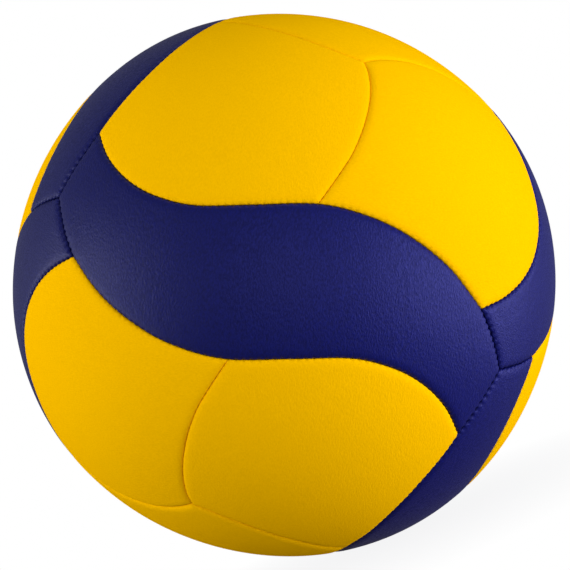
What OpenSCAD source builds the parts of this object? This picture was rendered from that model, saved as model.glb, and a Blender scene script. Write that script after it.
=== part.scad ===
// Volleyball, size 5: eighteen sewn panels over a cloth carcass and a bladder.
// Six curved bands lie on the six faces of a cube. Each band's two ends meet the ends
// of two other bands at a corner of the cube, and twelve equal panels fill the rest.
// The origin is the middle of the ball. The valve is on +Z and the front band on -Y.

/* [Ball] */
// Diameter over the middles of the bands
ball_d = 211; // [190:1:235]
// How much lower the ball is at the corners where three panels meet
corner_dip = 1.3; // [0:0.1:2]

/* [Panels] */
// Thickness of a panel: leather, foam and cloth glued into one sheet
panel_t = 5; // [4.4:0.1:8]
// Gap between the turned edges of two panels
seam_gap = 0.4; // [0.3:0.05:0.6]
// Depth of the groove along a seam
groove_depth = 0.9; // [0.7:0.1:2]
// Width over which a panel's face turns down to its seam
shoulder_w = 3.6; // [3:0.1:7]
// Diameter of the sewing thread
thread_d = 0.6; // [0.5:0.05:1]
// Clearance between the thread and the panels
thread_gap = 0.1; // [0.05:0.01:0.2]

/* [Carcass and bladder] */
// Clearance between one layer and the next
layer_gap = 0.2; // [0.1:0.05:0.3]
// Thickness of the cloth carcass
carcass_t = 0.9; // [0.5:0.1:2]
// Wall of the butyl bladder
bladder_t = 0.9; // [0.5:0.1:2]

/* [Valve] */
// Diameter of the boss's neck, which shows in the valve hole
neck_d = 5.6; // [4.5:0.1:8]
// Clearance round the neck in each layer
neck_gap = 0.2; // [0.1:0.05:0.3]
// How far the neck's end lies below the face of the panel
neck_recess = 0.7; // [0.3:0.1:1.5]
// Diameter of the boss's flange inside the bladder
flange_d = 34; // [24:1:44]
// Thickness of the flange
flange_t = 1.6; // [1:0.1:3]
// Diameter of the boss's barrel
barrel_d = 11.5; // [10.5:0.1:15]
// Length of the barrel below the flange
barrel_len = 14; // [12:0.5:18]
// Diameter of the pocket in the boss that holds the core
pocket_d = 6.6; // [6:0.1:7.4]
// Length of the pocket
pocket_len = 9; // [7:0.5:10]
// Diameter of the throat above the pocket
throat_d = 3.6; // [3.4:0.1:4]
// Clearance between the core and the boss
core_gap = 0.05; // [0.02:0.01:0.1]
// Diameter of the core's bore for the inflating needle
needle_d = 2.1; // [1.8:0.05:2.4]
// Length of the straight bore
needle_len = 9; // [6:0.5:12]
// Depth of the funnel that leads the needle in
funnel_depth = 0.6; // [0.3:0.1:1]
// Diameter of the cloth patch behind the valve hole
patch_d = 30; // [20:1:40]
// Thickness of the patch
patch_t = 0.6; // [0.4:0.1:1]

/* [Hidden] */

blue = [0.13, 0.12, 0.42];
yellow = [0.98, 0.80, 0.04];
thread_white = [0.86, 0.85, 0.80];
cloth_grey = [0.78, 0.76, 0.72];
butyl_black = [0.12, 0.12, 0.13];
core_tan = [0.55, 0.45, 0.33];

ball_r = ball_d / 2;
panel_in_r = ball_r - panel_t;
carcass_r = panel_in_r - layer_gap;
bladder_r = carcass_r - carcass_t - layer_gap;
bladder_in_r = bladder_r - bladder_t;
flange_r = bladder_in_r - layer_gap;
neck_hole_d = neck_d + 2 * neck_gap;
neck_top_z = ball_r - neck_recess;
// One overrun serves every cut
over = layer_gap;

// Angle from the middle of a band to the corner at its end, which is also the length
// that the shares of the three seam lines below are measured in
half_span = acos(1 / sqrt(3));

// Points of a band's upper edge from its tip to the foot, where a seam between two yellow
// panels ends, as shares of half_span along and across the band
near_edge_shares = [
  [-0.951, 0.271], [-0.799, 0.192], [-0.646, 0.142], [-0.502, 0.127], [-0.346, 0.146],
  [-0.160, 0.218], [0.048, 0.302]
];
// Points of the same edge beyond the foot. It ends at the tip of the next band.
far_edge_shares = [[0.221, 0.328], [0.394, 0.319], [0.585, 0.271]];
// Points of the seam from the corner of three yellow panels to the foot
yellow_seam_shares = [
  [0, 1], [0.053, 0.934], [0.095, 0.823], [0.111, 0.685], [0.104, 0.541], [0.080, 0.428],
  near_edge_shares[len(near_edge_shares) - 1]
];
// Points of the seam between two band ends, from the corner of three bands to the tip
end_seam_shares = [[-1, 0], [-0.972, 0.135], near_edge_shares[0]];

// Where the grid lines beside a seam lie, as shares of the shoulder's width
shoulder_shares = [0, 0.2, 0.55, 1];
// Grid steps along each long side of a panel and along half a band's end
side_steps = 14;
end_steps = 6;
// Fine steps along a seam line, from which its true lengths are measured
fine_steps = 60;
round_fn = 160;
small_fn = 48;

// Turns a place on the front band, in degrees along and across it, into a direction
function band_dir(u, v) =
  let (x = cos(v) * sin(u), z = sin(v))
  [(x + z) / sqrt(2), -cos(v) * cos(u), (z - x) / sqrt(2)];
// The same place as shares of half_span, from a direction
function band_share(p) =
  let (x = (p.x - p.z) / sqrt(2), z = (p.x + p.z) / sqrt(2))
  [atan2(x, -p.y), asin(z)] / half_span;
function unit(p) = p / norm(p);
// Half a turn about the middle of the front band
function half_turn(p) = [-p.x, p.y, -p.z];
// A third of a turn about the corner at the band's left end, forwards and back
function end_turn(p) = [p.y, -p.z, -p.x];
function end_turn_back(p) = [-p.z, p.x, -p.y];
function reversed(list) = [for (i = [len(list) - 1:-1:0]) list[i]];
function turned_half(list) = [for (p = list) half_turn(p)];

// A smooth line through the points, at s from 0 to the number of spans
function smooth(points, s) =
  let (
    k = min(floor(s), len(points) - 2),
    t = s - k,
    b = points[k],
    c = points[k + 1],
    a = k > 0 ? points[k - 1] : 2 * b - c,
    d = k + 2 < len(points) ? points[k + 2] : 2 * c - b
  )
  (2 * b + (c - a) * t + (2 * a - 5 * b + 4 * c - d) * t * t + (3 * b - a - 3 * c + d) * t * t * t) / 2;
function smooth_dir(points, s) =
  let (q = smooth(points, s) * half_span)
  band_dir(q[0], q[1]);

// Lengths along a seam line on the ball, each with the place on the line that it reaches
function run_table(points, from, to) =
  let (dirs = [for (i = [0:fine_steps]) smooth_dir(points, from + (to - from) * i / fine_steps)])
  [for (i = 0, run = 0; i <= fine_steps;
        run = run + (i < fine_steps ? norm(dirs[i + 1] - dirs[i]) * ball_r : 0), i = i + 1)
    [run, from + (to - from) * i / fine_steps]];
// Distances of the grid lines along a side: close together beside the seams at its ends
function side_stops(total, steps) =
  let (n = len(shoulder_shares) - 1, inner = total - 2 * shoulder_w)
  concat(
    [for (k = [0:n - 1]) shoulder_w * shoulder_shares[k]],
    [for (k = [0:steps - 2 * n]) shoulder_w + inner * k / (steps - 2 * n)],
    [for (k = [n - 1:-1:0]) total - shoulder_w * shoulder_shares[k]]
  );
// The same for half a band's end, which has a seam beside it at its start only
function end_stops(total, steps) =
  let (n = len(shoulder_shares) - 1, inner = total - shoulder_w)
  concat(
    [for (k = [0:n - 1]) shoulder_w * shoulder_shares[k]],
    [for (k = [0:steps - n]) shoulder_w + inner * k / (steps - n)]
  );
function dirs_at(points, table, stops) =
  [for (stop = stops) smooth_dir(points, lookup(stop, table))];
function side_dirs(points, from, to) =
  let (table = run_table(points, from, to))
  dirs_at(points, table, side_stops(table[fine_steps][0], side_steps));

tip = band_dir(near_edge_shares[0][0] * half_span, near_edge_shares[0][1] * half_span);
edge_points = concat(near_edge_shares, far_edge_shares, [band_share(half_turn(end_turn(tip)))]);
foot_span = len(near_edge_shares) - 1;
last_span = len(edge_points) - 1;
// The stretch of the band's edge from the tip to the foot, and from the foot to the end
edge_near = side_dirs(edge_points, 0, foot_span);
edge_far = side_dirs(edge_points, foot_span, last_span);
yellow_seam = side_dirs(yellow_seam_shares, 0, len(yellow_seam_shares) - 1);
end_table = run_table(reversed(end_seam_shares), 0, len(end_seam_shares) - 1);
// From the tip to the corner of three bands
end_seam = dirs_at(reversed(end_seam_shares), end_table, end_stops(end_table[fine_steps][0], end_steps));

// The four sides of the front band, each from left to right or from bottom to top
band_top = concat(edge_near, [for (i = [1:side_steps]) edge_far[i]]);
band_bottom = reversed(turned_half(band_top));
band_left = concat(
  [for (p = end_seam) end_turn(p)],
  [for (i = [end_steps - 1:-1:0]) end_seam[i]]
);
band_right = reversed(turned_half(band_left));

// The four sides of a yellow panel, which lies above the left half of the front band:
// along that band, along the next band, and the two seams to its yellow neighbours
function corner_turn(p) = end_turn_back(half_turn(p));
yellow_bottom = edge_near;
yellow_left = reversed([for (p = edge_far) corner_turn(p)]);
yellow_top = reversed([for (p = yellow_seam) corner_turn(p)]);
yellow_right = reversed(yellow_seam);

// How low the ball is in a direction: nothing at the middles of the bands, and the whole
// corner_dip where three panels meet
function dip(p) = corner_dip * (1 - pow(p.x, 4) - pow(p.y, 4) - pow(p.z, 4)) * 3 / 2;

// Moves a corner of a panel's outline inwards by half the seam's gap, along both sides
function inset(before, p, after) =
  let (
    n = unit(cross(p, p - before)),
    m = unit(cross(p, after - p))
  )
  unit(p + (n + m) / (1 + n * m) * seam_gap / 2 / ball_r);
function inset_ring(ring) =
  let (n = len(ring))
  [for (i = [0:n - 1]) inset(ring[(i + n - 1) % n], ring[i], ring[(i + 1) % n])];

// Places along a side, from 0 to 1, in proportion to the lengths of its steps
function step_shares(side) =
  let (
    runs = [for (i = 0, run = 0; i < len(side);
                 run = run + (i + 1 < len(side) ? norm(side[i + 1] - side[i]) : 0), i = i + 1) run]
  )
  runs / runs[len(runs) - 1];

// Directions of a panel's grid, row by row from its bottom side to its top side: each
// place blends the four sides of the outline, once that is drawn in for the seam's gap
function panel_grid(bottom, right, top, left) =
  let (
    n = len(bottom) - 1,
    m = len(left) - 1,
    ring = inset_ring(concat(
      [for (i = [0:n - 1]) bottom[i]],
      [for (j = [0:m - 1]) right[j]],
      [for (i = [n:-1:1]) top[i]],
      [for (j = [m:-1:1]) left[j]]
    )),
    b = [for (i = [0:n]) ring[i]],
    r = [for (j = [0:m]) ring[n + j]],
    t = [for (i = [0:n]) ring[2 * n + m - i]],
    l = [for (j = [0:m]) ring[(2 * n + 2 * m - j) % len(ring)]],
    s = (step_shares(b) + step_shares(t)) / 2,
    q = (step_shares(l) + step_shares(r)) / 2
  )
  [for (j = [0:m]) [for (i = [0:n])
    unit(
      (1 - q[j]) * b[i] + q[j] * t[i] + (1 - s[i]) * l[j] + s[i] * r[j]
      - (1 - s[i]) * (1 - q[j]) * b[0] - s[i] * (1 - q[j]) * b[n]
      - (1 - s[i]) * q[j] * t[0] - s[i] * q[j] * t[n]
    )]];

// The face of a panel: rounded down to the groove within a shoulder's width of its edge
function panel_face(grid) =
  let (m = len(grid) - 1, n = len(grid[0]) - 1)
  [for (j = [0:m]) [for (i = [0:n])
    let (
      p = grid[j][i],
      across = min(norm(p - grid[0][i]), norm(p - grid[m][i])),
      along = min(norm(p - grid[j][0]), norm(p - grid[j][n])),
      turn = max(0, 1 - min(across, along) * ball_r / shoulder_w)
    )
    p * (ball_r - dip(p) - groove_depth * turn * turn)]];

band_face = panel_face(panel_grid(band_bottom, band_right, band_top, band_left));
yellow_face = panel_face(panel_grid(yellow_bottom, yellow_right, yellow_top, yellow_left));

// A solid from the middle of the ball out to a panel's face
module panel_wedge(face) {
  m = len(face) - 1;
  n = len(face[0]) - 1;
  w = n + 1;
  middle = (m + 1) * w;
  rim = concat(
    [for (i = [0:n - 1]) i],
    [for (j = [0:m - 1]) j * w + n],
    [for (i = [n:-1:1]) m * w + i],
    [for (j = [m:-1:1]) j * w]
  );
  polyhedron(
    points = concat([for (row = face) for (p = row) p], [[0, 0, 0]]),
    faces = concat(
      [for (j = [0:m - 1]) for (i = [0:n - 1]) [j * w + i, (j + 1) * w + i, (j + 1) * w + i + 1]],
      [for (j = [0:m - 1]) for (i = [0:n - 1]) [j * w + i, (j + 1) * w + i + 1, j * w + i + 1]],
      [for (k = [0:len(rim) - 1]) [rim[k], rim[(k + 1) % len(rim)], middle]]
    )
  );
}

module panel(face) {
  difference() {
    panel_wedge(face);
    sphere(r = panel_in_r, $fn = round_fn);
  }
}

// Turns a panel of the front to another of its twelve places: by thirds of a turn about
// a line through two opposite corners, after a half turn about X, Y or Z, or none
half_turns = [[0, 0, 0], [180, 0, 0], [0, 180, 0], [0, 0, 180]];
module placed(third, half) {
  rotate(a = third * 360 / 3, v = [1, 1, 1])
    rotate(half_turns[half])
      children();
}

module blue_panel(third, half) {
  color(blue)
    placed(third, half)
      panel(band_face);
}

module yellow_panel(number) {
  color(yellow)
    placed(number % 3, floor(number / 3))
      panel(yellow_face);
}

// The top band: a hole for the valve's neck, and a shallow recess for the cloth patch
module blue_panel_top() {
  color(blue)
    difference() {
      blue_panel(1, 1);
      cylinder(d = neck_hole_d, h = ball_d, $fn = small_fn);
      intersection() {
        sphere(r = panel_in_r + patch_t + layer_gap, $fn = round_fn);
        cylinder(d = patch_d + 2 * layer_gap, h = ball_d, $fn = small_fn);
      }
    }
}

// One laid thread: a four-sided line along the bottom of a groove
thread_r = thread_d / 2;
thread_rise = thread_r - seam_gap / 2 + thread_gap * sqrt(2);
module thread_line(dirs) {
  n = len(dirs) - 1;
  rings = [for (i = [0:n])
    let (
      p = dirs[i],
      along = unit(dirs[min(i + 1, n)] - dirs[max(i - 1, 0)]),
      side = unit(cross(p, along)),
      middle = p * (ball_r - dip(p) - groove_depth + thread_rise)
    )
    for (k = [0:3]) middle + thread_r * (cos(90 * k) * p + sin(90 * k) * side)];
  polyhedron(
    points = rings,
    faces = concat(
      [for (i = [0:n - 1]) for (k = [0:3]) [4 * i + k, 4 * i + (k + 1) % 4, 4 * i + 4 + k]],
      [for (i = [0:n - 1]) for (k = [0:3]) [4 * i + (k + 1) % 4, 4 * i + 4 + (k + 1) % 4, 4 * i + 4 + k]],
      [[2, 1, 0], [3, 2, 0], [4 * n, 4 * n + 1, 4 * n + 2], [4 * n, 4 * n + 2, 4 * n + 3]]
    )
  );
}
// A thread starts and ends one grid line short of the seams that it meets
function short_of_ends(side) =
  let (n = len(side) - 1)
  concat([side[1]], [for (i = [3:n - 3]) side[i]], [side[n - 1]]);

module seam_thread() {
  start_gap = shoulder_w * shoulder_shares[1];
  edge_stops = concat(
    [for (i = [0:side_steps - 1]) if (i == 1 || (i > 2 && i < side_steps - 2)) edge_near[i]],
    [edge_near[side_steps]],
    [for (i = [1:side_steps - 1]) if (i == side_steps - 1 || (i > 2 && i < side_steps - 2)) edge_far[i]]
  );
  end_stop = smooth_dir(reversed(end_seam_shares), lookup(end_table[fine_steps][0] - start_gap, end_table));
  end_line = concat([end_seam[1]], [for (i = [3:end_steps - 1]) end_seam[i]], [end_stop]);
  color(thread_white)
    for (third = [0:2])
      for (half = [0:3])
        placed(third, half) {
          thread_line(edge_stops);
          thread_line(end_line);
          thread_line(short_of_ends(yellow_seam));
        }
}

module hollow_ball(outer_r, wall) {
  difference() {
    sphere(r = outer_r, $fn = round_fn);
    sphere(r = outer_r - wall, $fn = round_fn);
  }
}

module cloth_carcass() {
  color(cloth_grey)
    difference() {
      hollow_ball(carcass_r, carcass_t);
      cylinder(d = neck_hole_d, h = ball_d, $fn = small_fn);
    }
}

module butyl_bladder() {
  color(butyl_black)
    difference() {
      hollow_ball(bladder_r, bladder_t);
      cylinder(d = neck_hole_d, h = ball_d, $fn = small_fn);
    }
}

module valve_patch() {
  color(cloth_grey)
    difference() {
      intersection() {
        hollow_ball(panel_in_r + patch_t, patch_t);
        cylinder(d = patch_d, h = ball_d, $fn = small_fn);
      }
      cylinder(d = neck_hole_d, h = ball_d, $fn = small_fn);
    }
}

// The boss: a dished flange inside the bladder, a neck up to the valve hole and a barrel
// that holds the core, with a port at its end for the air
pocket_top_z = flange_r - flange_t;
port_d = needle_d + 2 * layer_gap;
module valve_boss() {
  color(butyl_black)
    difference() {
      union() {
        intersection() {
          hollow_ball(flange_r, flange_t);
          cylinder(d = flange_d, h = ball_d, $fn = small_fn);
        }
        translate([0, 0, pocket_top_z - barrel_len])
          cylinder(d = barrel_d, h = barrel_len, $fn = small_fn);
        translate([0, 0, pocket_top_z - over])
          cylinder(d = neck_d, h = neck_top_z - pocket_top_z + over, $fn = small_fn);
      }
      translate([0, 0, pocket_top_z - pocket_len])
        cylinder(d = pocket_d, h = pocket_len, $fn = small_fn);
      translate([0, 0, pocket_top_z - over])
        cylinder(d = throat_d, h = neck_top_z - pocket_top_z + 2 * over, $fn = small_fn);
      translate([0, 0, pocket_top_z - barrel_len - over])
        cylinder(d = port_d, h = barrel_len, $fn = small_fn);
    }
}

// The core: a barrel in the pocket and a stem in the throat, with a blind bore that a
// funnel leads into. Below the bore the rubber is slit, and closed by its own squeeze.
module valve_core() {
  stem_d = throat_d - 2 * core_gap;
  top_z = neck_top_z - neck_gap;
  body_len = pocket_len - 2 * core_gap;
  body_d = pocket_d - 2 * core_gap;
  nose_r = body_d / 6;
  color(core_tan)
    difference() {
      union() {
        translate([0, 0, pocket_top_z - core_gap - body_len])
          rotate_extrude($fn = small_fn)
            polygon([
              [0, 0], [body_d / 2 - nose_r, 0], [body_d / 2, nose_r], [body_d / 2, body_len], [0, body_len]
            ]);
        translate([0, 0, pocket_top_z - core_gap - over])
          cylinder(d = stem_d, h = top_z - pocket_top_z + core_gap + over, $fn = small_fn);
      }
      translate([0, 0, top_z - funnel_depth - needle_len])
        cylinder(d = needle_d, h = needle_len + funnel_depth + over, $fn = small_fn);
      translate([0, 0, top_z - funnel_depth])
        cylinder(d1 = needle_d, d2 = (needle_d + stem_d) / 2, h = funnel_depth, $fn = small_fn);
    }
}

blue_panel(0, 0);  // blue_panel_front
blue_panel(0, 1);  // blue_panel_back
blue_panel(2, 0);  // blue_panel_left
blue_panel(2, 1);  // blue_panel_right
blue_panel_top();
blue_panel(1, 0);  // blue_panel_bottom
yellow_panel(0);  // yellow_panel_01
yellow_panel(1);  // yellow_panel_02
yellow_panel(2);  // yellow_panel_03
yellow_panel(3);  // yellow_panel_04
yellow_panel(4);  // yellow_panel_05
yellow_panel(5);  // yellow_panel_06
yellow_panel(6);  // yellow_panel_07
yellow_panel(7);  // yellow_panel_08
yellow_panel(8);  // yellow_panel_09
yellow_panel(9);  // yellow_panel_10
yellow_panel(10);  // yellow_panel_11
yellow_panel(11);  // yellow_panel_12
seam_thread();
cloth_carcass();
butyl_bladder();
valve_patch();
valve_boss();
valve_core();
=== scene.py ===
"""A sewn indoor volleyball: curved blue bands and yellow panels of foam-backed leather.

The ball is worked out in millimetres, with its middle at the origin, the valve on +Z and
the front band on -Y, and is turned to metres when a mesh is made.
"""
import math
import bpy
import numpy as np
from mathutils import Matrix, Vector
from mathutils.geometry import delaunay_2d_cdt


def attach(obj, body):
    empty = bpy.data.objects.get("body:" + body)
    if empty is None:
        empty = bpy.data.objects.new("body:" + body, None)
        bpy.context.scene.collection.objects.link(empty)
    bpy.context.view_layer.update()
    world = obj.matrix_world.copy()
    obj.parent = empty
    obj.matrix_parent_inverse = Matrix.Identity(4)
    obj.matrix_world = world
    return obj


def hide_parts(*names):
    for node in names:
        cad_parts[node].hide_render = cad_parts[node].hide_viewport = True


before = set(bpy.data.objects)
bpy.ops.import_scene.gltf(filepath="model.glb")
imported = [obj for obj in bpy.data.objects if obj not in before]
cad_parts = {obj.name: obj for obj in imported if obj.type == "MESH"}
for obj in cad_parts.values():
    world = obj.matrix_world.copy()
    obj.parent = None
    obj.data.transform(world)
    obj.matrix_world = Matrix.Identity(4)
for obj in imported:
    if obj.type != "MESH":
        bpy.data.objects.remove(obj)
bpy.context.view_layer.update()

MM = 0.001
BALL_R = 105.5
CORNER_DIP = 1.3
LINING_R = 100.5

# How a sewn edge is turned in: a soft shoulder, then a tight fold down into the seam
SHOULDER_DEPTH = 0.75
SHOULDER_W = 3.6
FOLD_R = 0.42
# The share of the fold's radius by which the edge goes down
FOLD_SHARE = 0.9
STITCH_PITCH = 2.65
# Each stitch pulls the two edges down into a pit, and between stitches they nearly touch
PULL_DEPTH = 0.42
PULL_REACH = 0.6
# How uneven hand work is: the shoulder and the pits by a share, the face by its height
SHOULDER_UNEVEN = 0.16
PIT_UNEVEN = 0.35
FACE_UNEVEN = 0.1

# Rows of points down the hem: how far in from the rim, and at which share of its height
HEM_ROWS = [(0.14, 0.91), (0.42, 0.76), (0.42, 0.5), (0.12, 0.2), (0.12, 0.0)]
# Rows of points beside a seam, by their distance from the turned edge
EDGE_ROWS = [0.0, 0.06, 0.14, 0.26, 0.42, 0.68, 1.05, 1.6, 2.4, 3.4, 4.6]
# Only every so many points of a row are kept, further from the seam
ROW_STRIDES = [1, 1, 1, 1, 1, 1, 1, 2, 4, 4, 5]
POINTS_A_STITCH = 8
# Points of the seam lines from which distances are measured
FINE_POINTS_A_STITCH = 24
# Steps along each part of a seam line, from which its length is measured
LINE_STEPS = 1200
FACE_SPACING = 2.3
LINING_SPACING = 7.0
# How far rows keep from the evenly spread points, as a share of the points' spacing
ROW_CLEAR = 0.6
# Stands for the distance to a seam where none is near
FAR = 99.0

THREAD_D = 0.5
THREAD_SIDES = 6
# A stitch from end to end: how far across the seam, and its share of the full thickness
STITCH_REACH = np.array([-0.5, -0.35, -0.12, 0.12, 0.35, 0.5])
STITCH_THICK = np.array([0.75, 0.95, 1, 1, 0.95, 0.75])
# A stitch arches over the seam, and falls by this times its reach squared
STITCH_ARCH = 0.6
# Most stitches lie deep in the seam, and only a few come up where they catch light
STITCH_DEPTHS = [0.1, 0.8, 1.1]
STITCH_ODDS = [0.02, 0.28, 0.7]

VALVE_HOLE_D = 6.0
# Points round the valve hole, and rows of them by their distance from its edge
VALVE_POINTS = 48
VALVE_ROWS = np.array([0, 0.12, 0.3, 0.55, 0.95, 1.6, 2.6])
# Beyond the last row, this much is kept free of evenly spread points
VALVE_CLEAR = 1.4
# The leather is rounded over at the hole's edge, and drawn down a little round it
VALVE_ROUND_W = 0.9
VALVE_ROUND_DEPTH = 0.35
VALVE_SUNK_W = 2.8
VALVE_SUNK_DEPTH = 0.25
PATCH_RECESS_D = 30.4
PATCH_RECESS = 0.8
# The recess's wall is this wide, so that it is a slope and not a fold
RECESS_WALL = 0.1
RECESS_CLEAR = 2

# Each panel's grain is taken this far from the last one's, so that no two are alike
SHEETS_APART = 40

# From the middle of a band to its end, in degrees
HALF_SPAN = math.degrees(math.acos(1 / math.sqrt(3)))


# The seam lines.

def band_dir(u, v):
    """A place on the front band, in degrees along and across it, as a direction."""
    u, v = np.radians(u), np.radians(v)
    x, z = np.cos(v) * np.sin(u), np.sin(v)
    return np.stack([(x + z) / math.sqrt(2), -np.cos(v) * np.cos(u), (z - x) / math.sqrt(2)], -1)


def band_share(p):
    """A direction's place on the front band, in half spans along and across it."""
    x, z = (p[0] - p[2]) / math.sqrt(2), (p[0] + p[2]) / math.sqrt(2)
    return [math.degrees(math.atan2(x, -p[1])) / HALF_SPAN, math.degrees(math.asin(z)) / HALF_SPAN]


# Turns of the ball that carry one seam line onto another, as matrices
STAY = np.eye(3)
HALF_TURN = np.diag([-1.0, 1, -1])
END_TURN = np.array([[0.0, 1, 0], [0, 0, -1], [-1, 0, 0]])
CORNER_TURN = END_TURN.T @ HALF_TURN

# Points of the three seam lines, in half spans along and across the front band. The first
# line runs between blue and yellow, down a whole side of the band.
EDGE_SHARES = [
    [-0.951, 0.271], [-0.799, 0.192], [-0.646, 0.142], [-0.502, 0.127], [-0.346, 0.146],
    [-0.160, 0.218], [0.048, 0.302], [0.221, 0.328], [0.394, 0.319], [0.585, 0.271],
]
# Which of them is the end of a yellow seam
FOOT = 6
# Where two band ends and a yellow panel meet
TIP = band_dir(*(np.array(EDGE_SHARES[0]) * HALF_SPAN))
EDGE_SHARES.append(band_share(HALF_TURN @ END_TURN @ TIP))
# Between two yellow panels, from the point where three of them meet
YELLOW_SHARES = [
    [0, 1], [0.053, 0.934], [0.095, 0.823], [0.111, 0.685], [0.104, 0.541], [0.080, 0.428],
    EDGE_SHARES[FOOT],
]
# Between two band ends, from the point where three of them meet
END_SHARES = [[-1, 0], [-0.972, 0.135], EDGE_SHARES[0]]


class Seam:
    """A seam line on the ball. A place on it is counted in stitches from its start.

    slack is how far the stitches pull the edges down, as a share of PULL_DEPTH, and gaps are
    the gap between the two edges halfway between stitches and at them.
    """

    def __init__(self, shares, breaks, slack, gaps):
        self.slack, self.gaps = slack, gaps
        points = np.array(shares, float)
        before, after = 2 * points[0] - points[1], 2 * points[-1] - points[-2]
        points = np.vstack([before, points, after])
        line, counts, total = [], [], 0
        for first, last in zip(breaks, breaks[1:]):
            s = np.linspace(first, last, LINE_STEPS + 1)
            k = np.minimum(s.astype(int), len(shares) - 2)
            t = (s - k)[:, None]
            a, b, c, d = (points[k + i] for i in range(4))
            spot = (2 * b + (c - a) * t + (2 * a - 5 * b + 4 * c - d) * t ** 2
                    + (3 * b - a - 3 * c + d) * t ** 3) / 2 * HALF_SPAN
            dirs = band_dir(spot[:, 0], spot[:, 1])
            run = np.append(0, np.linalg.norm(np.diff(dirs, axis=0), axis=1).cumsum()) * BALL_R
            stitches = round(run[-1] / STITCH_PITCH)
            line.append(dirs)
            counts.append(total + run / run[-1] * stitches)
            total += stitches
        self.line, self.counts = np.vstack(line), np.concatenate(counts)
        self.breaks = [c[0] for c in counts] + [total]
        self.stitches = total

    def at(self, count):
        """The direction of a place on the line, or of many."""
        p = np.stack([np.interp(count, self.counts, self.line[:, i]) for i in range(3)], -1)
        return p / np.linalg.norm(p, axis=-1, keepdims=True)

    def along(self, count, step=0.02):
        """The way the line runs at each place, measured over two short steps."""
        way = self.at(count + step) - self.at(count - step)
        first = self.at(2 * step) - self.at(0)
        last = self.at(self.stitches) - self.at(self.stitches - 2 * step)
        way = np.where((count < step)[..., None], first, way)
        way = np.where((count > self.stitches - step)[..., None], last, way)
        return way / np.linalg.norm(way, axis=-1, keepdims=True)

    @staticmethod
    def at_stitch(count):
        """1 at a stitch, falling fast to 0 halfway to the next."""
        return (0.5 + 0.5 * np.cos(2 * math.pi * count)) ** 1.5

    def pull(self, count):
        """How hard the edges are pulled down, from 0 to 1."""
        return self.slack * self.at_stitch(count)

    def half_gap(self, count):
        """From the line to each of the two edges, in millimetres."""
        between, at_one = self.gaps
        return (between + (at_one - between) * self.at_stitch(count)) / 2


# Blue to yellow; yellow to yellow, drawn the tightest; and blue to blue, the loosest
edge_seam = Seam(EDGE_SHARES, [0, FOOT, len(EDGE_SHARES) - 1], slack=0.8, gaps=(0.1, 0.26))
yellow_seam = Seam(YELLOW_SHARES, [0, len(YELLOW_SHARES) - 1], slack=0.3, gaps=(0.03, 0.09))
end_seam = Seam(END_SHARES, [0, len(END_SHARES) - 1], slack=0.45, gaps=(0.16, 0.95))
FOOT_STITCH = edge_seam.breaks[1]

# The outline of each panel, round to the left: (seam, turn, from stitch, to stitch)
BAND_OUTLINE = [
    (edge_seam, HALF_TURN, edge_seam.stitches, 0),
    (end_seam, HALF_TURN, end_seam.stitches, 0),
    (end_seam, HALF_TURN @ END_TURN, 0, end_seam.stitches),
    (edge_seam, STAY, edge_seam.stitches, 0),
    (end_seam, STAY, end_seam.stitches, 0),
    (end_seam, END_TURN, 0, end_seam.stitches),
]
YELLOW_OUTLINE = [
    (edge_seam, STAY, 0, FOOT_STITCH),
    (yellow_seam, STAY, yellow_seam.stitches, 0),
    (yellow_seam, CORNER_TURN, 0, yellow_seam.stitches),
    (edge_seam, CORNER_TURN, FOOT_STITCH, edge_seam.stitches),
]


# The panels.

def uneven(dirs, seed, wave_mm, count=14):
    """Seeded soft unevenness from -1 to 1 over the ball, in waves about wave_mm long."""
    rng = np.random.default_rng(seed)
    total = np.zeros(len(dirs))
    for _ in range(count):
        way = rng.normal(size=3)
        way *= 2 * math.pi * BALL_R / (wave_mm * rng.uniform(0.7, 1.5)) / np.linalg.norm(way)
        total += np.sin(dirs @ way + rng.uniform(0, 2 * math.pi))
    return total / math.sqrt(count * 2)


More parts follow.
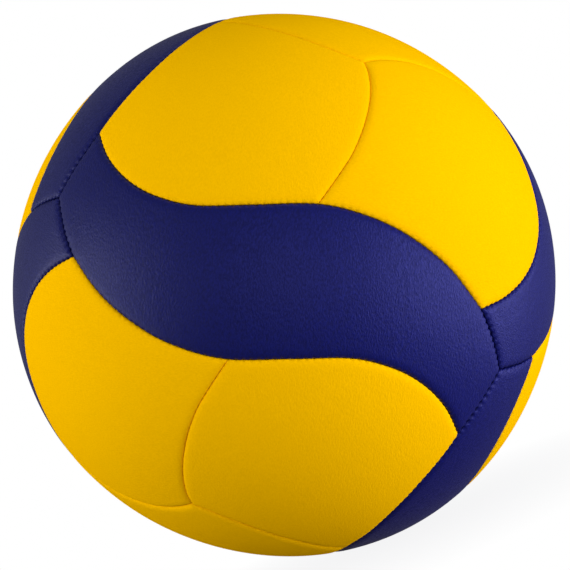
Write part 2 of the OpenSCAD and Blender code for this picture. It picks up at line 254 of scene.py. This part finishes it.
class Cut:
    """The places of one panel's points on the ball, and how they join into faces."""

    def __init__(self, outline, valve=False):
        self.sides = [self.side(*s) for s in outline]
        fine = [self.side(*s, FINE_POINTS_A_STITCH) for s in outline]
        self.seam_line = np.vstack([f[0] for f in fine])
        self.seam_way = np.vstack([f[1] for f in fine])
        self.seam_pull = np.concatenate([f[2] for f in fine])
        middle = self.seam_line.mean(0)
        self.middle = middle / np.linalg.norm(middle)
        east = np.cross([0, 0, 1.0], self.middle)
        self.east = east / np.linalg.norm(east)
        self.north = np.cross(self.middle, self.east)
        self.seam_chart = self.chart(self.seam_line)
        self.valve = valve
        self.lay_face()
        self.lay_lining()

    @staticmethod
    def side(seam, turn, first, last, steps=POINTS_A_STITCH):
        """A side's points, the way it runs, the stitches' pull and half the gap, at each."""
        count = np.linspace(first, last, int(abs(last - first) * steps) + 1)[:-1]
        way = seam.along(count) * (1 if last > first else -1)
        return seam.at(count) @ turn.T, way @ turn.T, seam.pull(count), seam.half_gap(count)

    def chart(self, dirs):
        """The ball's surface laid flat about the panel's middle, in millimetres."""
        k = 2 * BALL_R / (1 + dirs @ self.middle)
        return np.stack([dirs @ self.east * k, dirs @ self.north * k], -1)

    def unchart(self, xy):
        """The way back, from the chart to directions."""
        q = xy / (2 * BALL_R)
        r2 = (q ** 2).sum(-1, keepdims=True)
        p = 2 * q[:, :1] * self.east + 2 * q[:, 1:] * self.north + (1 - r2) * self.middle
        return p / (1 + r2)

    def from_seam(self, dirs, at_once=400):
        """How far each place is from the nearest seam, and how hard a stitch pulls there."""
        off, pull = np.empty(len(dirs)), np.empty(len(dirs))
        for start in range(0, len(dirs), at_once):
            part = slice(start, start + at_once)
            near = np.argmax(dirs[part] @ self.seam_line.T, axis=1)
            gap = dirs[part] - self.seam_line[near]
            gap -= (gap * self.seam_way[near]).sum(-1, keepdims=True) * self.seam_way[near]
            off[part] = np.linalg.norm(gap, axis=1) * BALL_R
            pull[part] = self.seam_pull[near]
        return off, pull

    @staticmethod
    def inside(xy, ring):
        """Which places on the flat chart lie inside a closed line."""
        hit = np.zeros(len(xy), bool)
        for (x0, y0), (x1, y1) in zip(ring, np.roll(ring, -1, 0)):
            if y0 != y1:
                across = (xy[:, 1] < y0) != (xy[:, 1] < y1)
                hit ^= across & (xy[:, 0] < x0 + (xy[:, 1] - y0) / (y1 - y0) * (x1 - x0))
        return hit

    def row(self, distance, stride):
        """Points along the whole outline, at a distance in from the turned edge."""
        dirs, offs, pulls = [], [], []
        for p, way, pull, half_gap in self.sides:
            inset = distance + half_gap
            away = (inset / BALL_R)[:, None]
            q = p * np.cos(away) + np.cross(p, way) * np.sin(away)
            # Near a corner, a point that comes closer to the next seam is left out
            off, _ = self.from_seam(q)
            keep = (off > inset * 0.97 - 0.004) & (np.arange(len(q)) % stride == 0)
            dirs.append(q[keep])
            offs.append(np.full(keep.sum(), float(distance)))
            pulls.append(pull[keep])
        return np.vstack(dirs), np.concatenate(offs), np.concatenate(pulls)

    def hexes(self, spacing, margin):
        """Evenly spread places inside the outline, further than margin from its seams."""
        low, high = self.seam_chart.min(0), self.seam_chart.max(0)
        x, y = np.meshgrid(np.arange(low[0], high[0], spacing),
                           np.arange(low[1], high[1], spacing * math.sqrt(3) / 2))
        x[1::2] += spacing / 2
        xy = np.stack([x.ravel(), y.ravel()], -1)
        # Two points a stitch are enough to tell inside from outside
        xy = xy[self.inside(xy, self.seam_chart[::FINE_POINTS_A_STITCH // 2])]
        dirs = self.unchart(xy)
        off, pull = self.from_seam(dirs)
        keep = off > margin
        return dirs[keep], off[keep], pull[keep]

    def join(self, dirs, rim_count, rings=()):
        """Triangles over the points. The first rim_count are the outline; rings are holes."""
        xy = self.chart(dirs)
        edges = [(i, (i + 1) % rim_count) for i in range(rim_count)]
        for first, last in rings:
            edges += [(i, i + 1 if i + 1 < last else first) for i in range(first, last)]
        places = [Vector(q) for q in xy]
        _, _, faces, kept, _, _ = delaunay_2d_cdt(places, edges, [], 0, 0.0, True)
        back = np.array([k[0] for k in kept])
        faces = back[np.array(faces)]
        centres = xy[faces].mean(1)
        good = self.inside(centres, xy[:rim_count])
        for first, last in rings:
            good &= ~self.inside(centres, xy[first:last])
        return faces[good]

    def round_valve(self, radii):
        """Rings of points round the valve hole."""
        turn = np.linspace(0, 2 * math.pi, VALVE_POINTS, endpoint=False)
        rings = []
        for r in radii:
            a = r / BALL_R
            rings.append(self.middle * math.cos(a) + math.sin(a) * (
                np.cos(turn)[:, None] * self.east + np.sin(turn)[:, None] * self.north))
        return np.vstack(rings)

    def lay_face(self):
        """The outer face: rows beside the seams, and evenly spread points between them."""
        rows = [self.row(d, n) for d, n in zip(EDGE_ROWS, ROW_STRIDES)]
        self.rim = len(rows[0][0])
        middle = self.hexes(FACE_SPACING, EDGE_ROWS[-1] + FACE_SPACING * ROW_CLEAR)
        parts = rows + [middle]
        self.hole = None
        if self.valve:
            radii = VALVE_HOLE_D / 2 + VALVE_ROWS
            keep = middle[0] @ self.middle < math.cos((radii[-1] + VALVE_CLEAR) / BALL_R)
            parts[-1] = tuple(m[keep] for m in parts[-1])
            rings = self.round_valve(radii)
            first = sum(len(p[0]) for p in parts)
            self.hole = (first, first + VALVE_POINTS)
            parts.append((rings, np.full(len(rings), FAR), np.zeros(len(rings))))
        self.dirs = np.vstack([p[0] for p in parts])
        self.off = np.concatenate([p[1] for p in parts])
        self.pull = np.concatenate([p[2] for p in parts])
        self.faces = self.join(self.dirs, self.rim, [self.hole] if self.valve else [])

    def lay_lining(self):
        """The inner face, its outline one step in under the rim's points."""
        rim = self.dirs[:self.rim]
        inner = self.hexes(LINING_SPACING, LINING_SPACING * ROW_CLEAR)[0]
        parts = [rim, inner]
        self.lining_hole = None
        if self.valve:
            recess_r, wall = PATCH_RECESS_D / 2, RECESS_WALL / 2
            radii = [VALVE_HOLE_D / 2, recess_r - wall, recess_r + wall]
            keep = inner @ self.middle < math.cos((radii[-1] + RECESS_CLEAR) / BALL_R)
            parts[1] = inner[keep]
            first = len(rim) + keep.sum()
            self.lining_hole = (first, first + VALVE_POINTS)
            parts.append(self.round_valve(radii))
        self.lining = np.vstack(parts)
        self.lining_faces = self.join(self.lining, self.rim, [self.lining_hole] if self.valve else [])


def face_r(dirs, off, pull):
    """Radius of the leather's face: the ball's form, less the turned edge and the stitches."""
    # The sum of the fourth powers is 1 in the middle of a band, and 1/3 at a corner
    form = BALL_R - CORNER_DIP * 1.5 * (1 - (dirs ** 4).sum(-1))
    slack = 1 + SHOULDER_UNEVEN * uneven(dirs, seed=3, wave_mm=14)
    shoulder = SHOULDER_DEPTH * slack * np.clip(1 - off / SHOULDER_W, 0, 1) ** 3
    fold = FOLD_R - np.sqrt(np.clip(FOLD_R ** 2 - np.clip(FOLD_R - off, 0, FOLD_R) ** 2, 0, None))
    strength = 1 + PIT_UNEVEN * uneven(dirs, seed=4, wave_mm=9)
    pit = PULL_DEPTH * strength * pull * np.exp(-(off / PULL_REACH) ** 2)
    swell = FACE_UNEVEN * uneven(dirs, seed=5, wave_mm=60)
    return form - shoulder - fold * FOLD_SHARE - pit + swell - FACE_UNEVEN


def place(third, half):
    """One of the ball's twelve turns: thirds about two opposite corners, after a half turn."""
    thirds = np.linalg.matrix_power(np.array([[0.0, 0, 1], [1, 0, 0], [0, 1, 0]]), third)
    return thirds @ np.diag([[1.0, 1, 1], [1, -1, -1], [-1, 1, -1], [-1, -1, 1]][half])


def add_mesh(name, points_mm, faces, material, sheet_mm=None):
    """A smooth mesh object. sheet_mm is each point's place on the flat sheet."""
    mesh = bpy.data.meshes.new(name)
    mesh.from_pydata((points_mm * MM).tolist(), [], faces)
    mesh.shade_smooth()
    if sheet_mm is not None:
        sheet = mesh.attributes.new("sheet", "FLOAT_VECTOR", "POINT")
        sheet.data.foreach_set("vector", (sheet_mm * MM).ravel())
    mesh.materials.append(material)
    piece = bpy.data.objects.new(name, mesh)
    bpy.context.scene.collection.objects.link(piece)
    return piece


def sew_panel(name, cut, turn, material, number):
    """One panel as a closed solid: face, turned-in edge and lining.

    Each point keeps its place on the flat sheet that the panel was cut from, for the grain.
    """
    dirs = cut.dirs @ turn.T
    radii = face_r(dirs, cut.off, cut.pull)
    if cut.valve:
        from_hole = np.arccos(np.clip(cut.dirs @ cut.middle, -1, 1)) * BALL_R - VALVE_HOLE_D / 2
        edge = np.clip(1 - from_hole / VALVE_ROUND_W, 0, 1)
        sunk = np.clip(1 - from_hole / VALVE_SUNK_W, 0, 1)
        radii -= (VALVE_ROUND_DEPTH * (1 - np.sqrt(np.clip(1 - edge ** 2, 0, 1)))
                  + VALVE_SUNK_DEPTH * sunk ** 2)
    n = cut.rim
    points = [dirs * radii[:, None]]
    faces = cut.faces.tolist()
    # The turned edge curls away under the rim, and leaves room for the thread
    rim_dirs, rim_r = dirs[:n], radii[:n]
    inward = inward_at(rim_dirs)
    above = np.arange(n)
    start = len(dirs)
    for inset, height in HEM_ROWS:
        row = rim_dirs + inward * inset / BALL_R
        row /= np.linalg.norm(row, axis=1, keepdims=True)
        points.append(row * (LINING_R + (rim_r - LINING_R) * height)[:, None])
        below = np.arange(start, start + n)
        faces += join_rows(above, below)
        above, start = below, start + n
    lining = cut.lining @ turn.T
    lining[:n] = row
    lining_r = np.full(len(lining), LINING_R)
    if cut.valve:
        from_valve = np.arccos(np.clip(cut.lining @ cut.middle, -1, 1)) * BALL_R
        lining_r[from_valve < PATCH_RECESS_D / 2] += PATCH_RECESS
    start -= n
    points[-1] = lining * lining_r[:, None]
    faces += (cut.lining_faces[:, ::-1] + start).tolist()
    if cut.valve:
        face_ring = np.arange(*cut.hole)
        lining_ring = np.arange(*cut.lining_hole) + start
        faces += join_rows(lining_ring, face_ring)
    points = np.vstack(points)
    from_middle = np.linalg.norm(points, axis=1)
    flat = cut.chart(points / from_middle[:, None] @ turn)
    sheet = np.column_stack([flat, number * SHEETS_APART + BALL_R - from_middle])
    return add_mesh(name, points, faces, material, sheet)


def inward_at(ring):
    """The way in from each point of an outline that runs round to the left."""
    way = np.roll(ring, -1, 0) - np.roll(ring, 1, 0)
    inward = np.cross(ring, way)
    return inward / np.linalg.norm(inward, axis=1, keepdims=True)


def join_rows(above, below):
    """Faces between two closed rows of the same number of points."""
    n = len(above)
    return [[int(above[(i + 1) % n]), int(above[i]), int(below[i]), int(below[(i + 1) % n])]
            for i in range(n)]


def sew_stitches(name, material):
    """The thread where it shows: at each stitch it crosses from one turned edge to the other."""
    ring, last = THREAD_SIDES, len(STITCH_REACH) - 1
    thick = STITCH_THICK[:, None, None] * THREAD_D / 2
    turn_round = np.linspace(0, 2 * math.pi, ring, endpoint=False)[None, :, None]
    rng = np.random.default_rng(8)
    points, faces = [], []
    for third in range(3):
        for half in range(4):
            turn = place(third, half)
            for seam in (edge_seam, yellow_seam, end_seam):
                count = np.arange(1, seam.stitches)
                p, way = seam.at(count) @ turn.T, seam.along(count) @ turn.T
                across = np.cross(p, way)
                rim_r = face_r(p, np.zeros(len(count)), seam.pull(count))
                sunk = (THREAD_D / 2 + seam.gaps[0] * 2
                        + rng.choice(STITCH_DEPTHS, len(count), p=STITCH_ODDS))
                for q, along, side, r in zip(p, way, across, rim_r - sunk):
                    line = (q * r + STITCH_REACH[:, None] * side
                            - (STITCH_REACH ** 2)[:, None] * q * STITCH_ARCH)
                    rings = line[:, None] + thick * (
                        np.cos(turn_round) * q + np.sin(turn_round) * along)
                    start = len(points) * ring * (last + 1)
                    points.append(rings.reshape(-1, 3))
                    for i in range(last):
                        here = start + i * ring + np.arange(ring)
                        faces += join_rows(here + ring, here)
                    faces.append([start + ring - 1 - k for k in range(ring)])
                    faces.append([start + last * ring + k for k in range(ring)])
    return add_mesh(name, np.vstack(points), faces, material)


# Finishes.

def paint(code):
    """An sRGB hex colour as the linear colour that a shader takes."""
    parts = [int(code[i:i + 2], 16) / 255 for i in (1, 3, 5)]
    return [c / 12.92 if c <= 0.04045 else ((c + 0.055) / 1.055) ** 2.4 for c in parts] + [1.0]


def add(tree, kind, inputs=None, **settings):
    """Adds a node. An input is a value, or (node, output) for a link."""
    node = tree.nodes.new("ShaderNode" + kind)
    for key, value in settings.items():
        setattr(node, key, value)
    for key, value in (inputs or {}).items():
        if isinstance(value, tuple) and isinstance(value[0], bpy.types.Node):
            tree.links.new(value[0].outputs[value[1]], node.inputs[key])
        else:
            node.inputs[key].default_value = value
    return node


def finish_named(name):
    """A new finish and its empty node tree."""
    material = bpy.data.materials.new(name)
    material.use_nodes = True
    tree = material.node_tree
    tree.nodes.clear()
    return material, tree


def per_mm(size):
    """Texture scale at which one cell is that many millimetres across."""
    return 1 / (size * MM)


def moulded_leather(name, colour, crease_shade, press, rough, specular, tint):
    """Synthetic leather: a foamed polyurethane skin, its fine grain pressed in by a hot roll.

    The grain runs one way along the sheet, and gives the eye short streaks that catch the
    light from one side, over a skin with a low soft sheen. press is how deep it is, in mm.
    The second colour is painted shade, laid at the bottom of the creases.
    """
    material, tree = finish_named(name)
    at = add(tree, "Attribute", attribute_name="sheet")
    # Grain cells are twice as long as wide, and lie askew on the sheet
    along = add(tree, "Mapping", {"Vector": (at, "Vector"), "Rotation": (0, 0, math.radians(-32)),
                                  "Scale": (1, 2, 1)}, vector_type="TEXTURE")
    # Real creases are about 0.3 mm apart; drawn at 0.5 mm so that they show
    crease = add(tree, "TexNoise", {"Vector": (along, "Vector"), "Scale": per_mm(0.5), "Detail": 1.0,
                                    "Roughness": 0.6})
    # Rounded cells between them, about 0.4 mm; drawn at 0.8 mm
    cell = add(tree, "TexVoronoi", {"Vector": (along, "Vector"), "Scale": per_mm(0.8)},
               feature="SMOOTH_F1")
    # The skin is never quite level over its foam, in swells of 12 mm or so
    swell = add(tree, "TexNoise", {"Vector": (at, "Vector"), "Scale": per_mm(12.0), "Detail": 1.0})
    # Painted shade: the colour is mixed darker at the bottom of the creases, where shade falls
    depth = add(tree, "MapRange", {"Value": (crease, "Fac"), "From Min": 0.3, "From Max": 0.7})
    tone = add(tree, "Mix", {0: (depth, "Result"), 6: paint(crease_shade), 7: paint(colour)},
               data_type="RGBA")
    low = add(tree, "Bump", {"Height": (swell, "Fac"), "Strength": 0.3, "Distance": 0.3 * MM})
    mid = add(tree, "Bump", {"Height": (crease, "Fac"), "Strength": 1.0, "Distance": press * MM,
                             "Normal": (low, "Normal")})
    top = add(tree, "Bump", {"Height": (cell, "Distance"), "Strength": 0.6, "Distance": press * MM,
                             "Normal": (mid, "Normal")}, invert=True)
    # The tops of the grain are rubbed smooth, and shine more than the creases between them
    shine = add(tree, "MapRange", {"Value": (depth, "Result"), "To Min": rough + 0.1,
                                   "To Max": rough - 0.1})
    skin = add(tree, "BsdfPrincipled", {
        "Base Color": (tone, 2), "Roughness": (shine, "Result"), "Normal": (top, "Normal"),
        "IOR": 1.5, "Specular IOR Level": specular, "Specular Tint": paint(tint)})
    add(tree, "OutputMaterial", {"Surface": (skin, "BSDF")})
    return material


def twisted_thread():
    """Polyester sewing thread: two plies twisted, waxed, and grey where it lies in the seam."""
    material, tree = finish_named("twisted_polyester_thread")
    at = add(tree, "TexCoord")
    # One twist of the plies is about 0.6 mm long
    twist = add(tree, "TexWave", {"Vector": (at, "Object"), "Scale": per_mm(0.6) / (2 * math.pi),
                                  "Distortion": 2.0})
    tone = add(tree, "Mix", {0: (twist, "Fac"), 6: paint("#c9c6ba"), 7: paint("#9d9a8e")},
               data_type="RGBA")
    groove = add(tree, "Bump", {"Height": (twist, "Fac"), "Strength": 0.6, "Distance": 0.06 * MM})
    ply = add(tree, "BsdfPrincipled", {"Base Color": (tone, 2), "Normal": (groove, "Normal"),
                                       "Roughness": 0.7, "IOR": 1.55})
    add(tree, "OutputMaterial", {"Surface": (ply, "BSDF")})
    return material


def woven_cloth(name, light, dark):
    """Plain-woven cotton and polyester, dipped in latex: a fine square weave under a dull film."""
    material, tree = finish_named(name)
    at = add(tree, "TexCoord")
    # Threads of 0.35 mm, drawn at 0.7 mm so that the weave shows; one wave each way
    warp = add(tree, "TexWave", {"Vector": (at, "Object"), "Scale": per_mm(0.7) / (2 * math.pi),
                                 "Distortion": 0.6}, bands_direction="X")
    weft = add(tree, "TexWave", {"Vector": (at, "Object"), "Scale": per_mm(0.7) / (2 * math.pi),
                                 "Distortion": 0.6}, bands_direction="Y")
    weave = add(tree, "Math", {0: (warp, "Fac"), 1: (weft, "Fac")}, operation="MULTIPLY")
    tone = add(tree, "Mix", {0: (weave, "Value"), 6: paint(dark), 7: paint(light)},
               data_type="RGBA")
    raised = add(tree, "Bump", {"Height": (weave, "Value"), "Strength": 0.7, "Distance": 0.15 * MM})
    cloth = add(tree, "BsdfPrincipled", {"Base Color": (tone, 2), "Normal": (raised, "Normal"),
                                         "Roughness": 0.85, "IOR": 1.5})
    add(tree, "OutputMaterial", {"Surface": (cloth, "BSDF")})
    return material


def moulded_rubber(name, colour, bloom, rough):
    """Cured rubber: dull and even, with a faint grey bloom that comes to its skin in patches."""
    material, tree = finish_named(name)
    at = add(tree, "TexCoord")
    # The bloom's patches are about 5 mm, and the mould's blasted skin about 0.5 mm
    patches = add(tree, "TexNoise", {"Vector": (at, "Object"), "Scale": per_mm(5.0), "Detail": 3.0})
    blasted = add(tree, "TexNoise", {"Vector": (at, "Object"), "Scale": per_mm(0.5), "Detail": 1.0})
    tone = add(tree, "Mix", {0: (patches, "Fac"), 6: paint(colour), 7: paint(bloom)},
               data_type="RGBA")
    rise = add(tree, "Bump", {"Height": (blasted, "Fac"), "Strength": 0.3, "Distance": 0.05 * MM})
    rubber = add(tree, "BsdfPrincipled", {"Base Color": (tone, 2), "Normal": (rise, "Normal"),
                                          "Roughness": rough, "IOR": 1.52})
    add(tree, "OutputMaterial", {"Surface": (rubber, "BSDF")})
    return material


# Each leather's second colour is painted shade, for the bottom of its grain's creases
blue_leather = moulded_leather("blue_moulded_leather", "#11165b", "#0a0d42", press=0.13,
                               rough=0.46, specular=0.25, tint="#aeb0ff")
# The yellow is purer than a screen can show. A gloss would only pale it, so it has none.
yellow_leather = moulded_leather("yellow_moulded_leather", "#ffc200", "#f9bb00", press=0.12,
                                 rough=0.48, specular=0.0, tint="#ffffff")
thread = twisted_thread()
carcass_cloth = woven_cloth("latex_dipped_carcass_cloth", "#d2cec4", "#9b968a")
patch_cloth = woven_cloth("latex_dipped_patch_cloth", "#d8d5cd", "#a8a397")
butyl = moulded_rubber("black_butyl", "#1b1b1d", "#2b2b2e", 0.5)
valve_rubber = moulded_rubber("tan_valve_rubber", "#a58f6b", "#b7a484", 0.65)


# The ball.

BLUE_PLACES = {"front": (0, 0), "back": (0, 1), "left": (2, 0), "right": (2, 1),
               "top": (1, 1), "bottom": (1, 0)}
band_cut, yellow_cut = Cut(BAND_OUTLINE), Cut(YELLOW_OUTLINE)
valve_cut = Cut(BAND_OUTLINE, valve=True)

for side, (third, half) in BLUE_PLACES.items():
    cut = valve_cut if side == "top" else band_cut
    piece = sew_panel("sewn_band_" + side, cut, place(third, half), blue_leather, third * 2 + half)
    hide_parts("blue_panel_" + side)
    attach(piece, "root")

for number in range(12):
    piece = sew_panel(f"sewn_yellow_{number + 1:02d}", yellow_cut, place(number % 3, number // 3),
                      yellow_leather, 6 + number)
    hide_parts(f"yellow_panel_{number + 1:02d}")
    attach(piece, "root")

stitches = sew_stitches("seam_stitches", thread)
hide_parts("seam_thread")
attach(stitches, "root")

for node, material in {"cloth_carcass": carcass_cloth, "butyl_bladder": butyl,
                       "valve_patch": patch_cloth, "valve_boss": butyl,
                       "valve_core": valve_rubber}.items():
    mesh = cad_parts[node].data
    mesh.materials.clear()
    mesh.materials.append(material)


# The camera, as the photograph has it: almost level with the ball, and rolled about 24 degrees.

CAMERA_RIGHT = Vector((0.91546, 0.03642, -0.40075)).normalized()
CAMERA_UP = Vector((0.40135, -0.01077, 0.91586))
CAMERA_BACK = CAMERA_RIGHT.cross(CAMERA_UP).normalized()
CAMERA_AWAY = 0.6791

camera = bpy.data.objects.new("camera", bpy.data.cameras.new("camera"))
camera.data.lens = 109.75
camera.data.sensor_width = 36
camera.data.shift_x = 0.00158
camera.data.shift_y = -0.00018
camera.data.clip_start = 0.01
camera.matrix_world = Matrix.Translation(CAMERA_BACK * CAMERA_AWAY) @ Matrix(
    (CAMERA_RIGHT, CAMERA_BACK.cross(CAMERA_RIGHT), CAMERA_BACK)).transposed().to_4x4()
bpy.context.scene.collection.objects.link(camera)
bpy.context.scene.camera = camera


# The studio.

# Every light is a square of this size, this far from the ball, both in metres
LIGHT_SIZE = 1.0
LIGHT_AWAY = 1.5

# Each light's side, rise, watts and blue. The two on the right are cool, the others plain.
LIGHTS = {
    "right_front": (58, 7, 15.0, 1.34),
    "right_side": (90, 3, 9.6, 1.8),
    "left_side": (-89, -8, 13.4, 1.0),
    "left_front": (-62, 6, 4.0, 1.0),
    "front": (2, 6, 6.1, 1.0),
    "overhead": (0, 90, 4.0, 1.0),
}


def soft_light(name, side, rise, watts, blue):
    """A square soft light round the ball, side degrees to the camera's right and rise up."""
    a, e = math.radians(side), math.radians(rise)
    way = (CAMERA_RIGHT * math.sin(a) * math.cos(e) + CAMERA_BACK * math.cos(a) * math.cos(e)
           + CAMERA_UP * math.sin(e))
    light = bpy.data.lights.new(name, "AREA")
    light.size = LIGHT_SIZE
    light.energy = watts
    light.color = (1, 1, blue)
    lamp = bpy.data.objects.new(name, light)
    facing = way.to_track_quat("Z", "Y").to_matrix().to_4x4()
    lamp.matrix_world = Matrix.Translation(way * LIGHT_AWAY) @ facing
    bpy.context.scene.collection.objects.link(lamp)


for name, setting in LIGHTS.items():
    soft_light(name, *setting)


def white_room():
    """White to the camera, and a dim room for the rest, dimmer and warmer below the ball.

    The ball has no metal or glass that would show the white, so only camera rays see it.
    """
    world = bpy.data.worlds.new("room")
    bpy.context.scene.world = world
    world.use_nodes = True
    tree = world.node_tree
    tree.nodes.clear()
    ray = add(tree, "LightPath")
    seen = add(tree, "Background", {"Color": (1, 1, 1, 1), "Strength": 1.0})
    at = add(tree, "TexCoord")
    height = add(tree, "SeparateXYZ", {"Vector": (at, "Generated")})
    rise = add(tree, "MapRange", {"Value": (height, "Z"), "From Min": -0.95, "From Max": 0.2})
    dim = add(tree, "Mix", {0: (rise, "Result"), 6: paint("#5f574d"), 7: paint("#868686")},
              data_type="RGBA")
    room = add(tree, "Background", {"Color": (dim, 2), "Strength": 1.0})
    both = add(tree, "MixShader", {0: (ray, "Is Camera Ray"), 1: (room, 0), 2: (seen, 0)})
    add(tree, "OutputWorld", {"Surface": (both, "Shader")})


# The floor is a disc just under the ball, shaded where the ball is nearer than SHADOW_REACH
FLOOR_R = 700
FLOOR_POINTS = 96
FLOOR_GAP = 0.3
SHADOW_REACH = 60


def white_floor():
    """Pale painted floor: white to the camera, with the ball's soft shadow where they meet."""
    material, tree = finish_named("white_painted_floor")
    closed_off = add(tree, "AmbientOcclusion", {"Distance": SHADOW_REACH * MM}, samples=16)
    shade = add(tree, "Mix", {0: (closed_off, "AO"), 6: paint("#f3f3f4"), 7: paint("#ffffff")},
                data_type="RGBA")
    seen = add(tree, "Emission", {"Color": (shade, 2), "Strength": 1.0})
    face = add(tree, "NewGeometry")
    clear = add(tree, "BsdfTransparent")
    both = add(tree, "MixShader", {0: (face, "Backfacing"), 1: (seen, "Emission"), 2: (clear, "BSDF")})
    add(tree, "OutputMaterial", {"Surface": (both, "Shader")})
    turn = np.linspace(0, 2 * math.pi, FLOOR_POINTS, endpoint=False)
    ring = np.stack([np.cos(turn), np.sin(turn), np.zeros(FLOOR_POINTS)], -1) * FLOOR_R
    ring[:, 2] = -BALL_R - FLOOR_GAP
    floor = add_mesh("floor", ring, [list(range(FLOOR_POINTS))], material)
    floor.visible_shadow = False
    floor.visible_diffuse = False
    floor.visible_glossy = False


white_room()
white_floor()
bpy.context.scene.view_settings.view_transform = "Standard"
